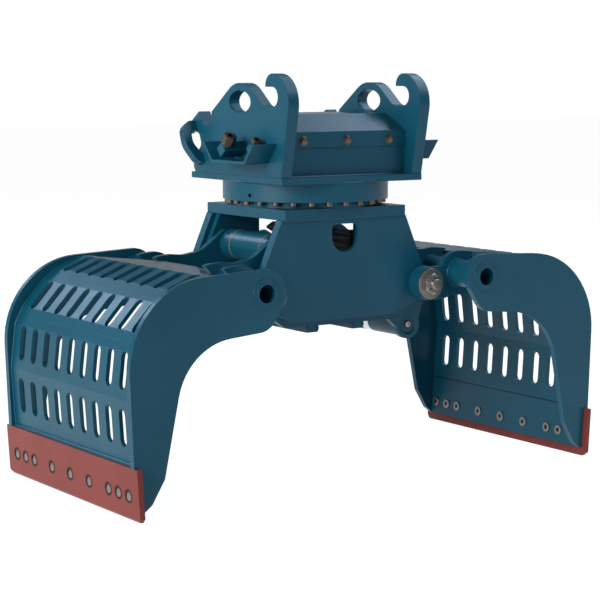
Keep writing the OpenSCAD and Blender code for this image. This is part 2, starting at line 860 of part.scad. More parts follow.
// Cylinder from the left shell's upper pin to the frame's lower pin
cyl_dx = lower_x + upper_x;
cyl_dz = lower_z - upper_z;
cyl_len = norm([cyl_dx, cyl_dz]);
cyl_angle = atan2(-cyl_dz, cyl_dx);
mouth = 400;
gland_t = 40;

// Place children with +X running from the upper pin to the lower pin
module along_cylinder() {
    translate([-upper_x, 0, upper_z]) rotate([0, cyl_angle, 0]) children();
}

module cylinder_barrel() {
    color(blue) difference() {
        union() {
            rod_y(-upper_x, upper_z, boss_r, -cross_half, cross_half);
            along_cylinder() rotate([0, 90, 0]) cylinder(r = barrel_r, h = mouth);
        }
        rod_y(-upper_x, upper_z, pin_r + running_gap, -cross_half - 1, cross_half + 1);
        along_cylinder() translate([boss_r + 14, 0, 0]) rotate([0, 90, 0]) cylinder(r = bore_r, h = mouth);
    }
}

module cylinder_seals() {
    color("#9a6a4f") front_and_rear()
        tube_y(-upper_x, upper_z, boss_r - 1, pin_r, cross_half + 0.4, cross_half + 4);
}

module cylinder_gland() {
    color(blue) along_cylinder() translate([mouth + 0.5, 0, 0]) rotate([0, 90, 0]) difference() {
        cylinder(r = barrel_r - 1, h = gland_t);
        translate([0, 0, -1]) cylinder(r = rod_r + running_gap, h = gland_t + 2);
    }
}

module cylinder_rod() {
    color("silver") difference() {
        union() {
            along_cylinder() translate([120, 0, 0]) rotate([0, 90, 0])
                cylinder(r = rod_r, h = cyl_len - 120 - 66);
            rod_y(lower_x, lower_z, lower_eye_r, -rod_eye_t / 2, rod_eye_t / 2);
            along_cylinder() translate([cyl_len - 72, -rod_eye_t / 2 + 2, -30])
                cube([42, rod_eye_t - 4, 60]);
        }
        rod_y(lower_x, lower_z, pin_r + running_gap, -rod_eye_t, rod_eye_t);
    }
}

head_plate();
hook_plate_left();
hook_plate_right();
head_cover();
cover_walls();
cover_bolts();
hose_guard_left();
hose_guard_right();
guard_bar_left();
guard_bar_right();
port_blocks();
hose_fittings();
slew_housing();
housing_bolts();
slew_motor();
swivel_sleeve();
pinion();
slew_ring();
gear_ring();
swivel_core();
frame_top_plate();
frame_front_plate();
frame_rear_plate();
inner_plates();
cross_bars();
pivot_bushes();
lower_blocks();
lower_pin();
swivel_block();
frame_hoses();
left_side_front();
left_side_rear();
left_upper_sheet();
left_shoulder_sheet();
left_lower_sheet();
left_cross_tube();
left_ears();
left_levers();
left_upper_pin();
left_pivot_pins();
left_pivot_nuts();
left_edge();
left_edge_bolts();
right_side_front();
right_side_rear();
right_upper_sheet();
right_shoulder_sheet();
right_lower_sheet();
right_cross_tube();
right_ears();
right_levers();
right_upper_pin();
right_pivot_pins();
right_pivot_nuts();
right_edge();
right_edge_bolts();
cylinder_barrel();
cylinder_seals();
cylinder_gland();
cylinder_rod();
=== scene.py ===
import json

import bmesh
import bpy
import numpy as np
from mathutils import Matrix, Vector
from mathutils.geometry import tessellate_polygon


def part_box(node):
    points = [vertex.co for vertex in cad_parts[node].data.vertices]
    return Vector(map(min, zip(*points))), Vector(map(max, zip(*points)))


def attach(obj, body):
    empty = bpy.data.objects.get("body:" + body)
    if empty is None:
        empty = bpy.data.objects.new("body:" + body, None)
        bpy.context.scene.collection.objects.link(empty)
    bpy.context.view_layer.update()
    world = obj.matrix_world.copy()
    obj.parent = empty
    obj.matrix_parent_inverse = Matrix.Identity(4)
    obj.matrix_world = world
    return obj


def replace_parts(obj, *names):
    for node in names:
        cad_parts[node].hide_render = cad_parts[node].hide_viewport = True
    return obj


bl_info = {
    "name": "Sorting grapple",
    "version": (1, 0, 0),
    "blender": (4, 5, 0),
    "location": "View3D > Sidebar > Grapple",
    "description": "Dresses the sorting grapple with paint, welds, fixings, fittings and a studio",
    "category": "Object",
}

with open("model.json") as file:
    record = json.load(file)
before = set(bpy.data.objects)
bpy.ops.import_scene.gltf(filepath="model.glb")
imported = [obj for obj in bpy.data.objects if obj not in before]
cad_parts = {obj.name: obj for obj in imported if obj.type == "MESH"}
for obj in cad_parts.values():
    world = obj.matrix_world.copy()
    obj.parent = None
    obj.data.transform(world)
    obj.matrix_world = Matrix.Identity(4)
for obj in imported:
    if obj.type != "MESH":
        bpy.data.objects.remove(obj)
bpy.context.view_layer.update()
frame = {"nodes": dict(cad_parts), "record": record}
NODES = frame["nodes"]

# Places and sizes shared with the solids, in metres
PIVOT = np.array([0.371, 0.733])
TUBE = np.array([0.509, 0.768])
UPPER = np.array([0.229, 0.885])
LOWER = np.array([0.336, 0.564])
HEAD_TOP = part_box("head_plate")[1].z
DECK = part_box("frame_top_plate")[1].z
FRAME_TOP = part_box("frame_top_plate")[0].z
EAR_FACE = -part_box("left_ears")[0].y
EAR_THICK = 0.025
LEVER_THICK = 0.028
SIDE_IN = 0.475
SIDE_OUT = 0.500
BOSS_RADIUS = 0.059
HOUSING_RADIUS = 0.325
HOUSING_TOP = DECK + 0.098

# Line where the bent back wall of a shell meets its side plates, from the top bend down to the cutting edge,
# as x and z
SEAM = np.array([
    [0.745, 0.8385], [0.850, 0.797], [0.910, 0.754], [0.999, 0.657],
    [1.032, 0.593], [1.0522, 0.423], [1.0370, 0.192],
])

# The cutting edge leans by this much in x for each metre of height, and carries one row of bolts
EDGE_LEAN = 0.066
EDGE_BOLT_Z = 0.087
EDGE_BOLT_Y = (-0.4446, -0.3702, -0.2964, -0.1484, 0, 0.1484, 0.2964, 0.3702, 0.4446)
EDGE_X = SEAM[-1, 0] - EDGE_LEAN * (SEAM[-1, 1] - EDGE_BOLT_Z)

SHELLS = ((-1, "left_shell"), (1, "right_shell"))

# Edges between faces that meet at more than this angle stay sharp
SHARP_ANGLE = np.radians(32)


# Settings

class GrapplePaint(bpy.types.PropertyGroup):
    """Colours and surface of the paint, the bare steel and the hoses"""
    blue: bpy.props.FloatVectorProperty(
        name="Blue paint", description="Colour of the painted steel",
        subtype="COLOR", size=3, min=0, max=1, default=(0.003, 0.095, 0.152))
    red: bpy.props.FloatVectorProperty(
        name="Edge paint", description="Colour of the cutting edges",
        subtype="COLOR", size=3, min=0, max=1, default=(0.265, 0.044, 0.034))
    steel: bpy.props.FloatVectorProperty(
        name="Bare steel", description="Colour of bolts, nuts and pins",
        subtype="COLOR", size=3, min=0, max=1, default=(0.31, 0.305, 0.30))
    rubber: bpy.props.FloatVectorProperty(
        name="Hose rubber", description="Colour of the hydraulic hoses",
        subtype="COLOR", size=3, min=0, max=1, default=(0.035, 0.035, 0.038))
    gloss: bpy.props.FloatProperty(
        name="Paint roughness", description="Roughness of the painted surface",
        subtype="FACTOR", min=0, max=1, default=0.37)
    edge_round: bpy.props.FloatProperty(
        name="Edge rounding", description="Radius of the worn edges of painted plates",
        unit="LENGTH", subtype="DISTANCE", min=0, max=0.01, default=0.0025)


class GrappleSizes(bpy.types.PropertyGroup):
    """Sizes of the weld beads and of the pivot nuts"""
    weld: bpy.props.FloatProperty(
        name="Weld size", description="Radius of a weld bead",
        unit="LENGTH", subtype="DISTANCE", min=0.002, max=0.012, default=0.0055)
    weld_pitch: bpy.props.FloatProperty(
        name="Weld ripple", description="Distance between two ripples of a weld bead",
        unit="LENGTH", subtype="DISTANCE", min=0.002, max=0.02, default=0.006)
    nut_across: bpy.props.FloatProperty(
        name="Nut width", description="Width across flats of the castle nuts",
        unit="LENGTH", subtype="DISTANCE", min=0.04, max=0.08, default=0.076)
    stud: bpy.props.FloatProperty(
        name="Stud radius", description="Radius of the threaded end of a pivot pin",
        unit="LENGTH", subtype="DISTANCE", min=0.01, max=0.025, default=0.021)


class GrappleStudio(bpy.types.PropertyGroup):
    """Power of the lamps and of the light from all round"""
    key: bpy.props.FloatProperty(
        name="Key light", description="Power of the large lamp on the left",
        unit="POWER", min=0, max=5000, default=1330)
    top: bpy.props.FloatProperty(
        name="Top light", description="Power of the long lamp above on the right",
        unit="POWER", min=0, max=5000, default=450)
    rear: bpy.props.FloatProperty(
        name="Rear light", description="Power of the lamp above and behind",
        unit="POWER", min=0, max=5000, default=230)
    low: bpy.props.FloatProperty(
        name="Low light", description="Power of the warm lamp far behind",
        unit="POWER", min=0, max=5000, default=24)
    ambient: bpy.props.FloatProperty(
        name="Ambient", description="Strength of the light from all round",
        subtype="FACTOR", min=0, max=1, default=0.14)


# Surfaces

def grid_faces(rows, cols, wrap_rows, wrap_cols, offset):
    """Quads between neighbouring points of a grid, closed round either way when asked."""
    i = np.arange(rows if wrap_rows else rows - 1)
    j = np.arange(cols if wrap_cols else cols - 1)
    a, b = np.meshgrid(i, j, indexing="ij")
    c, d = (a + 1) % rows, (b + 1) % cols
    quad = np.stack([a * cols + b, c * cols + b, c * cols + d, a * cols + d], axis=-1)
    return quad.reshape(-1, 4) + offset


def skin(name, grids, material, body):
    """One closed mesh from several grids, each of them (points[rows, cols, 3], wrap_rows, wrap_cols).
    A grid that wraps only its columns gets a flat cap on its first and last row."""
    verts, loops, sizes, start = [], [], [], 0
    for points, wrap_rows, wrap_cols in grids:
        rows, cols = points.shape[:2]
        verts.append(points.reshape(-1, 3))
        quads = grid_faces(rows, cols, wrap_rows, wrap_cols, start)
        loops.append(quads.ravel())
        sizes.append(np.full(len(quads), 4))
        if wrap_cols and not wrap_rows:
            rim = start + np.arange(cols)
            loops.append(np.concatenate([rim, (rim + (rows - 1) * cols)[::-1]]))
            sizes.append(np.array([cols, cols]))
        start += rows * cols
    verts, loops, sizes = np.concatenate(verts), np.concatenate(loops), np.concatenate(sizes)
    mesh = bpy.data.meshes.new(name)
    mesh.vertices.add(len(verts))
    mesh.vertices.foreach_set("co", verts.astype(np.float32).ravel())
    mesh.loops.add(len(loops))
    mesh.loops.foreach_set("vertex_index", loops.astype(np.int32))
    mesh.polygons.add(len(sizes))
    mesh.polygons.foreach_set("loop_start", (np.cumsum(sizes) - sizes).astype(np.int32))
    mesh.update(calc_edges=True)
    return finished(name, mesh, material, body)


def plate(name, loops, low, high, material, body):
    """Flat plate in y and z between two x values. The first loop is its outline and the rest are its holes.
    Both faces are the plane filled between the loops, and each loop gives one wall square to them."""
    flat = np.concatenate(loops)
    count = len(flat)
    face = np.array(tessellate_polygon([[Vector((*point, 0)) for point in loop] for loop in loops]))
    verts = np.concatenate([np.insert(flat, 0, x, axis=1) for x in (low, high)])
    walls, start = [], 0
    for loop in loops:
        a = start + np.arange(len(loop))
        b = np.roll(a, -1)
        walls.append(np.stack([a, b, b + count, a + count], axis=1))
        start += len(loop)
    polygons = face.tolist() + (face[:, ::-1] + count).tolist() + np.concatenate(walls).tolist()
    mesh = bpy.data.meshes.new(name)
    mesh.from_pydata(verts.tolist(), [], polygons)
    return finished(name, mesh, material, body)


def finished(name, mesh, material, body):
    """Turns the faces outward, smooths all but sharp edges and hands the piece to its body and slot."""
    work = bmesh.new()
    work.from_mesh(mesh)
    bmesh.ops.recalc_face_normals(work, faces=work.faces)
    work.to_mesh(mesh)
    work.free()
    mesh.polygons.foreach_set("use_smooth", np.full(len(mesh.polygons), True))
    mesh.set_sharp_from_angle(angle=SHARP_ANGLE)
    piece = bpy.data.objects.new(name, mesh)
    bpy.context.scene.collection.objects.link(piece)
    mesh.materials.append(material)
    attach(piece, body)
    return piece


def frame_of(axis):
    """Two unit vectors square to an axis and to each other, with a x b = axis."""
    axis = np.asarray(axis, float) / np.linalg.norm(axis)
    ref = np.array([0, 0, 1.0]) if abs(axis[2]) < 0.9 else np.array([1.0, 0, 0])
    a = np.cross(ref, axis)
    a /= np.linalg.norm(a)
    return axis, a, np.cross(axis, a)


def turned(profile, origin, axis, count=48, flat=None):
    """Surface of revolution: point = origin + h * axis + r * (cos t, sin t), for each (r, h) of the profile.
    With flat, r is cut back to the side of a hexagon of that inner radius:
    r = min(r, flat / cos(angle from t to the middle of the nearest side))."""
    profile = np.asarray(profile, float)
    axis, a, b = frame_of(axis)
    t = np.linspace(0, 2 * np.pi, count, endpoint=False)
    ring = np.cos(t)[:, None] * a + np.sin(t)[:, None] * b
    r = np.repeat(profile[:, :1], count, axis=1)
    if flat:
        r = np.minimum(r, flat / np.cos((t + np.pi / 6) % (np.pi / 3) - np.pi / 6))
    points = np.asarray(origin, float) + profile[:, None, 1:2] * axis + r[:, :, None] * ring[None]
    return points, False, True


def washer(inner, outer, low, high, origin, axis, count=64):
    """Flat ring between two radii and two heights: the surface of revolution of a section with five corners,
    closed both ways. Its outer top corner is turned off by a fifth of its height."""
    off = (high - low) / 5
    profile = [(inner, low), (outer, low), (outer, high - off), (outer - off, high), (inner, high)]
    return turned(profile, origin, axis, count)[0], True, True


def hexed(flat, low, high, origin, axis, count=96, hole=None):
    """Hexagon body from low to high: a surface of revolution cut back to a hexagon, with its top corners
    turned off by a 30 degree cone. A hole leaves the top open, and its depth is 0.4 of the height."""
    corner = flat * 2 / np.sqrt(3)
    cone_end = 0.95 * flat
    drop = (corner - cone_end) * np.tan(np.pi / 6)
    h = np.linspace(0, 1, 6)
    cone = np.stack([corner + (cone_end - corner) * h, high - drop + drop * h], axis=1)
    end = [[hole, high], [hole, high - 0.4 * (high - low)]] if hole else [[0.3 * flat, high]]
    return turned(np.concatenate([[[corner, low]], cone, end]), origin, axis, count, flat)


def prism(outline, low, high, chamfer, origin, axis):
    """Straight bar over a closed outline, from low to high along an axis, with both ends drawn in by the
    chamfer. Each end ring is the outline scaled about its middle by 1 - chamfer / (its mean radius)."""
    outline = np.asarray(outline, float)
    axis, a, b = frame_of(axis)
    centre = outline.mean(axis=0)
    small = 1 - chamfer / np.linalg.norm(outline - centre, axis=1).mean()
    rings = []
    for h, k in ((low, small), (low + chamfer, 1), (high - chamfer, 1), (high, small)):
        ring = centre + k * (outline - centre)
        rings.append(np.asarray(origin, float) + h * axis + ring[:, :1] * a + ring[:, 1:] * b)
    return np.stack(rings), False, True


def rounded(corners, steps=10):
    """Outline through corners (u, v, radius). A corner with a radius becomes an arc tangent to its two sides:
    point = centre + radius * (cos t, sin t), with the centre on the line that halves the corner's angle,
    radius / sin(half angle) away from the corner."""
    corners = np.asarray(corners, float)
    arcs = []
    for k, (u, v, radius) in enumerate(corners):
        corner = np.array([u, v])
        if radius == 0:
            arcs.append(corner[None])
            continue
        back, ahead = (corners[j % len(corners), :2] - corner for j in (k - 1, k + 1))
        back, ahead = back / np.linalg.norm(back), ahead / np.linalg.norm(ahead)
        half = np.arccos(np.clip(back @ ahead, -1, 1)) / 2
        middle = (back + ahead) / np.linalg.norm(back + ahead)
        centre = corner + middle * radius / np.sin(half)
        first, last = (corner + side * radius / np.tan(half) - centre for side in (back, ahead))
        start = np.arctan2(first[1], first[0])
        sweep = (np.arctan2(last[1], last[0]) - start + np.pi) % (2 * np.pi) - np.pi
        t = start + sweep * np.linspace(0, 1, steps)
        arcs.append(centre + radius * np.stack([np.cos(t), np.sin(t)], axis=1))
    return np.concatenate(arcs)


def ellipse(centre, half_width, half_height, t):
    """Points centre + (half_width * cos t, half_height * sin t) at the given angles t."""
    return np.asarray(centre, float) + np.stack([half_width * np.cos(t), half_height * np.sin(t)], axis=1)


def square(side, turn):
    """Corners of a square of a given side, turned by an angle in degrees about its middle."""
    half_diagonal = side / np.sqrt(2)
    return ellipse((0, 0), half_diagonal, half_diagonal, np.radians(turn + 45 + 90 * np.arange(4)))


def along(path):
    """Length from the start of a polyline to each of its points."""
    return np.concatenate([[0], np.cumsum(np.linalg.norm(np.diff(path, axis=0), axis=1))])


def even(path, count):
    """The given number of points at even steps along a polyline, and the length at each of them."""
    s = along(path)
    u = np.linspace(0, s[-1], count)
    return np.stack([np.interp(u, s, line) for line in path.T], axis=1), u


def resample(path, step):
    """Points about one step apart along a polyline, and the length at each of them."""
    path = np.asarray(path, float)
    return even(path, max(2, int(along(path)[-1] / step) + 1))


def strap(outer, inner, low, high, turn, origin, side):
    """Bent flat bar between an outer and an inner path of (reach, height), from low to high in its width w.
    It is turned about x by an angle t: y = w * cos t - height * sin t and z = w * sin t + height * cos t,
    from an origin. A side of -1 mirrors it."""
    t = np.radians(turn)
    reach, height = np.moveaxis(np.stack([outer, outer, inner, inner], axis=1), -1, 0)
    w = np.array([low, high, high, low])
    x = side * (origin[0] + reach)
    y = origin[1] + w * np.cos(t) - height * np.sin(t)
    z = origin[2] + w * np.sin(t) + height * np.cos(t)
    return np.stack([x, y, z], axis=-1), False, True


def swept(path, radius, sides=8, closed=False, ref=(0, 0, 1)):
    """Tube along a path: point = path(s) + r(s) * (cos t * n + sin t * b), with n square to the path and to
    ref, and b square to both."""
    path = np.asarray(path, float)
    if closed:
        tangent = np.roll(path, -1, 0) - np.roll(path, 1, 0)
    else:
        tangent = np.gradient(path, axis=0)
    tangent /= np.linalg.norm(tangent, axis=1, keepdims=True)
    n = np.cross(np.broadcast_to(np.asarray(ref, float), tangent.shape), tangent)
    n /= np.linalg.norm(n, axis=1, keepdims=True)
    b = np.cross(tangent, n)
    t = np.linspace(0, 2 * np.pi, sides, endpoint=False)
    radius = np.broadcast_to(radius, (len(path),))
    points = (path[:, None] + radius[:, None, None]
              * (np.cos(t)[None, :, None] * n[:, None] + np.sin(t)[None, :, None] * b[:, None]))
    return points, closed, True


def bead(path, sizes, ref=(0, 0, 1), closed=False, scale=1.0):
    """Weld bead: a tube along a path of length s, with radius = weld * (0.86 + 0.14 * |sin(pi * s / pitch)|).
    An open bead tapers over two ripples at both ends."""
    points, s = resample(path, sizes.weld_pitch / 3)
    if closed:
        points, s = points[:-1], s[:-1]
    ripple = 0.86 + 0.14 * np.abs(np.sin(np.pi * s / sizes.weld_pitch))
    if not closed:
        ripple = ripple * np.clip(np.minimum(s, s[-1] - s) / (2 * sizes.weld_pitch) + 0.25, 0, 1)
    return swept(points, ripple * sizes.weld * scale, 6, closed, ref)


def ring_path(centre, radius, axis, count=96):
    """Closed circle of points about an axis, with the first point repeated at the end."""
    axis, a, b = frame_of(axis)
    t = np.linspace(0, 2 * np.pi, count + 1)
    return np.asarray(centre, float) + radius * (np.cos(t)[:, None] * a + np.sin(t)[:, None] * b)


def at(xz, y, side=1):
    """Point in space from a place in the drawing plane, on the given side of the middle."""
    return np.array([side * xz[0], y, xz[1]])


def tube_weld(y, side, sizes, scale):
    """Weld bead round the cross tube of a shell at the given y, as a closed circle."""
    tube_radius = 0.0545
    return bead(ring_path(at(TUBE, y, side), tube_radius, [0, 1, 0]), sizes, (0, 1, 0), True, scale)


# Finishes

class Finish:
    """Small helper that builds one node material."""

    def __init__(self, name, colour, roughness, metallic=0.0):
        self.material = bpy.data.materials.new(name)
        self.material.use_nodes = True
        self.material.diffuse_color = (*colour, 1)
        self.tree = self.material.node_tree
        self.shader = self.tree.nodes["Principled BSDF"]
        self.shader.inputs["Base Color"].default_value = (*colour, 1)
        self.shader.inputs["Roughness"].default_value = roughness
        self.shader.inputs["Metallic"].default_value = metallic
        self.place = self.add("ShaderNodeTexCoord").outputs["Object"]

    def add(self, kind, **settings):
        """New node of a kind, with its settings."""
        node = self.tree.nodes.new(kind)
        for key, value in settings.items():
            setattr(node, key, value)
        return node

    def link(self, out, into):
        """Joins an output to an input."""
        self.tree.links.new(out, into)

    def noise(self, scale, detail=3.0, stretch=(1, 1, 1)):
        """Noise over the object's own coordinates."""
        mapping = self.add("ShaderNodeMapping")
        mapping.inputs["Scale"].default_value = stretch
        self.link(self.place, mapping.inputs["Vector"])
        node = self.add("ShaderNodeTexNoise")
        node.inputs["Scale"].default_value = scale
        node.inputs["Detail"].default_value = detail
        self.link(mapping.outputs[0], node.inputs["Vector"])
        return node.outputs["Fac"]

    def ramp(self, value, low, high, stops):
        """Maps low..high of a value through colour stops."""
        node = self.add("ShaderNodeValToRGB")
        for element, position, colour in zip(node.color_ramp.elements, (low, high), stops):
            element.position = position
            element.color = (*colour, 1)
        self.link(value, node.inputs["Fac"])
        return node.outputs["Color"]

    def level(self, value, low, high):
        """Maps 0..1 of a value to low..high."""
        node = self.add("ShaderNodeMapRange")
        node.inputs["To Min"].default_value = low
        node.inputs["To Max"].default_value = high
        self.link(value, node.inputs["Value"])
        return node.outputs["Result"]

    def mix(self, factor, one, two):
        """Colour between two colours by a factor."""
        node = self.add("ShaderNodeMix", data_type="RGBA")
        self.link(factor, node.inputs["Factor"])
        node.inputs[6].default_value = (*one, 1)
        node.inputs[7].default_value = (*two, 1)
        return node.outputs[2]

    def bump(self, height, distance, strength=1.0, edge=None):
        """Relief from a height, and edges rounded by a radius where one is given."""
        node = self.add("ShaderNodeBump")
        node.inputs["Distance"].default_value = distance
        node.inputs["Strength"].default_value = strength
        self.link(height, node.inputs["Height"])
        if edge:
            bevel = self.add("ShaderNodeBevel", samples=4)
            bevel.inputs["Radius"].default_value = edge
            self.link(bevel.outputs[0], node.inputs["Normal"])
        self.link(node.outputs[0], self.shader.inputs["Normal"])


def painted_steel(name, colour, roughness, edge):
    """Satin enamel: faint tone clouds, roller texture, dust in the roughness, and rounded edges."""
    finish = Finish(name, colour, roughness)
    clouds = finish.noise(3.2, 4.0)
    low = tuple(0.92 * c for c in colour)
    high = tuple(min(1, 1.09 * c + 0.002) for c in colour)
    finish.link(finish.ramp(clouds, 0.35, 0.65, (low, high)), finish.shader.inputs["Base Color"])
    dust = finish.noise(26, 5.0)
    finish.link(finish.level(dust, roughness - 0.07, roughness + 0.09), finish.shader.inputs["Roughness"])
    finish.bump(finish.noise(420, 2.0), 0.00025, 0.35, edge)
    finish.shader.inputs["Specular IOR Level"].default_value = 0.31
    return finish.material


def bare_steel(name, colour, roughness, edge=0.001):
    """Turned steel: fine grain, a brownish film in patches, slightly rounded edges."""
    finish = Finish(name, colour, roughness, 0.85)
    film = finish.noise(60, 5.0)
    brown = (colour[0] * 0.78, colour[1] * 0.66, colour[2] * 0.55)
    finish.link(finish.mix(finish.level(film, 0.0, 0.8), colour, brown), finish.shader.inputs["Base Color"])
    finish.link(finish.level(finish.noise(180, 3.0), roughness - 0.1, roughness + 0.14),
                finish.shader.inputs["Roughness"])
    finish.bump(finish.noise(700, 2.0), 0.0002, 0.3, edge)
    return finish.material


def hose_rubber(name, colour):
    """Hose cover: matt rubber with a fine grain and paler worn patches."""
    finish = Finish(name, colour, 0.62)
    finish.bump(finish.noise(900, 2.0), 0.0004, 0.6)
    worn = finish.noise(45, 4.0)
    finish.link(finish.ramp(worn, 0.4, 0.7, (colour, tuple(1.9 * c for c in colour))),
                finish.shader.inputs["Base Color"])
    return finish.material


def rusty_bronze(name):
    """Thin bearing ring: brown oxide with lighter rubbed spots."""
    finish = Finish(name, (0.36, 0.19, 0.11), 0.5, 0.2)
    spots = finish.noise(140, 4.0)
    finish.link(finish.ramp(spots, 0.35, 0.7, ((0.30, 0.14, 0.075), (0.50, 0.30, 0.19))),
                finish.shader.inputs["Base Color"])
    finish.bump(spots, 0.0003, 0.5)
    return finish.material


def cast_black(name, tone=0.045):
    """Blackened castings of motor, swivel and fittings: fine grain, slightly glossy. With a tone near zero it
    gives the near-black painted shade of bores, holes and gaps.
    """
    finish = Finish(name, (tone, 1.04 * tone, 1.1 * tone), 0.45, 0.3)
    finish.link(finish.level(finish.noise(80, 4.0), 0.34, 0.6), finish.shader.inputs["Roughness"])
    finish.bump(finish.noise(500, 3.0), 0.0003, 0.6, 0.001)
    return finish.material


def rod_chrome(name):
    """Hard chrome of the piston rod, with faint grinding marks round it."""
    finish = Finish(name, (0.62, 0.63, 0.65), 0.14, 1.0)
    finish.bump(finish.noise(300, 2.0, (6, 1, 6)), 0.0001, 0.2)
    finish.link(finish.level(finish.noise(40, 2.0), 0.1, 0.2), finish.shader.inputs["Roughness"])
    return finish.material


MADE = {}


def finishes():
    """The materials, made once: one for each slot name of the record, and more for small parts, and two that
    paint shade: a deeper red for recesses and a near-black for bores, holes and gaps.
    """
    if not MADE:
        paint = bpy.context.scene.grapple_paint
        blue, red, steel, rubber = (tuple(c) for c in (paint.blue, paint.red, paint.steel, paint.rubber))
        MADE["blue_paint"] = painted_steel("blue_enamel", blue, paint.gloss, paint.edge_round)
        # Deeper red painted shade, for the rims that stand in for a recess round each edge bolt head
        MADE["painted_recess_shade"] = painted_steel("shaded_red", (0.075, 0.016, 0.014), 0.6, 0.0005)
        MADE["red_paint"] = painted_steel("red_enamel", red, paint.gloss + 0.08, 0.002)
        MADE["bolt_steel"] = bare_steel("bolt_steel", steel, 0.4)
        MADE["bright_steel"] = bare_steel("bright_steel", (0.52, 0.48, 0.43), 0.45)
        MADE["fitting_steel"] = bare_steel("fitting_steel", (0.17, 0.145, 0.125), 0.36)
        # Near-black painted shade, put in bores, holes, wells and seam gaps where only shade would be seen
        MADE["painted_shade_black"] = cast_black("painted_shade_black", 0.006)
        MADE["rod_chrome"] = rod_chrome("rod_chrome")
        MADE["bronze"] = rusty_bronze("bearing_ring")
        MADE["dark_cast"] = cast_black("black_casting")
        MADE["hose_rubber"] = hose_rubber("hose_rubber", rubber)
    return MADE


# Operators

class GRAPPLE_OT_paint(bpy.types.Operator):
    """Gives every carried-over node the finish of its material slot"""
    bl_idname = "grapple.paint"
    bl_label = "Paint the solids"

    def execute(self, context):
        made = finishes()
        for part in frame["record"]["subparts"]:
            node = NODES[part["node"]]
            node.data.materials.clear()
            node.data.materials.append(made[part["material_slot"]])
        return {"FINISHED"}


class GRAPPLE_OT_frame_welds(bpy.types.Operator):
    """Lays the weld beads of the frame's top plate and webs, and of the head's plates and slew housing"""
    bl_idname = "grapple.frame_welds"
    bl_label = "Welds of head and frame"

    def execute(self, context):
        sizes, blue = context.scene.grapple_sizes, finishes()["blue_paint"]
        plate_end, plate_y = 0.288, 0.270
        web_faces, web_y, web_low, web_high = (-0.132, -0.082, 0.082, 0.132), 0.205, 0.566, 0.592
        grids = []
        for s in (-1, 1):
            line = [[x, s * plate_y, FRAME_TOP] for x in (-plate_end, plate_end)]
            grids.append(bead(line, sizes))
            for x in web_faces:
                line = [[x, s * web_y, z] for z in (web_low, web_high)]
                grids.append(bead(line, sizes, (1, 0, 0), scale=0.8))
        skin("frame_welds", grids, blue, "frame")

        cover_end, cover_y = 0.279, 0.273
        hook_foot_x, foot_start, foot_end = 0.281, 0.276, 0.306
        grids = []
        for s in (-1, 1):
            line = [[x, s * cover_y, HEAD_TOP] for x in (-cover_end, cover_end)]
            grids.append(bead(line, sizes))
            for x in (-hook_foot_x, hook_foot_x):
                line = [[x, s * y, HEAD_TOP] for y in (foot_start, foot_end)]
                grids.append(bead(line, sizes))
        rim = ring_path([0, 0, HOUSING_TOP], HOUSING_RADIUS, [0, 0, 1], 180)
        grids.append(bead(rim, sizes, closed=True, scale=0.8))
        skin("head_welds", grids, blue, "head")
        return {"FINISHED"}


class GRAPPLE_OT_shell_welds(bpy.types.Operator):
    """Lays the weld beads of both shells and their bush rings, and a thin near-black line of painted shade in
    the joint above each cutting edge
    """
    bl_idname = "grapple.shell_welds"
    bl_label = "Welds of the shells"

    def execute(self, context):
        sizes = context.scene.grapple_sizes
        blue, shade_black = finishes()["blue_paint"], finishes()["painted_shade_black"]
        lever_faces = {"left_shell": 0.172, "right_shell": 0.128}
        half = SIDE_IN - 0.001
        edge_seam_x, edge_seam_z, edge_seam_radius = 1.0385, 0.1945, 0.0085
        joint_x, joint_z, joint_radius = 1.0222, 0.198, 0.0020
        for side, body in SHELLS:
            grids = []
            for s in (-1, 1):
                line = np.insert(SEAM * (side, 1), 1, s * SIDE_IN, axis=1)
                grids.append(bead(line, sizes, (0, 1, 0)))
                grids.append(tube_weld(s * SIDE_IN, side, sizes, 0.9))
                grids.append(tube_weld(s * SIDE_OUT, side, sizes, 0.6))
            lever = lever_faces[body]
            for face in (EAR_FACE - EAR_THICK, EAR_FACE, lever, lever + LEVER_THICK):
                for y in (-face, face):
                    grids.append(tube_weld(y, side, sizes, 0.9))
            line, _ = resample([[side * edge_seam_x, y, edge_seam_z] for y in (-half, half)], step=0.02)
            grids.append(swept(line, edge_seam_radius, sides=16))
            for s in (-1, 1):
                bush = at(TUBE, s * (SIDE_OUT + 0.004), side)
                grids.append(washer(inner=0.0335, outer=0.0440, low=-0.004, high=0.0022, origin=bush,
                                    axis=[0, s, 0]))
            skin(body + "_welds", grids, blue, body)
            # Thin near-black tube along the joint above the cutting edge: painted shade of the seam where the
            # edge meets the shell
            line, _ = resample([[side * joint_x, y, joint_z] for y in (-half, half)], step=0.05)
            skin(body + "_joint_shade", [swept(line, joint_radius)], shade_black, body)
        return {"FINISHED"}


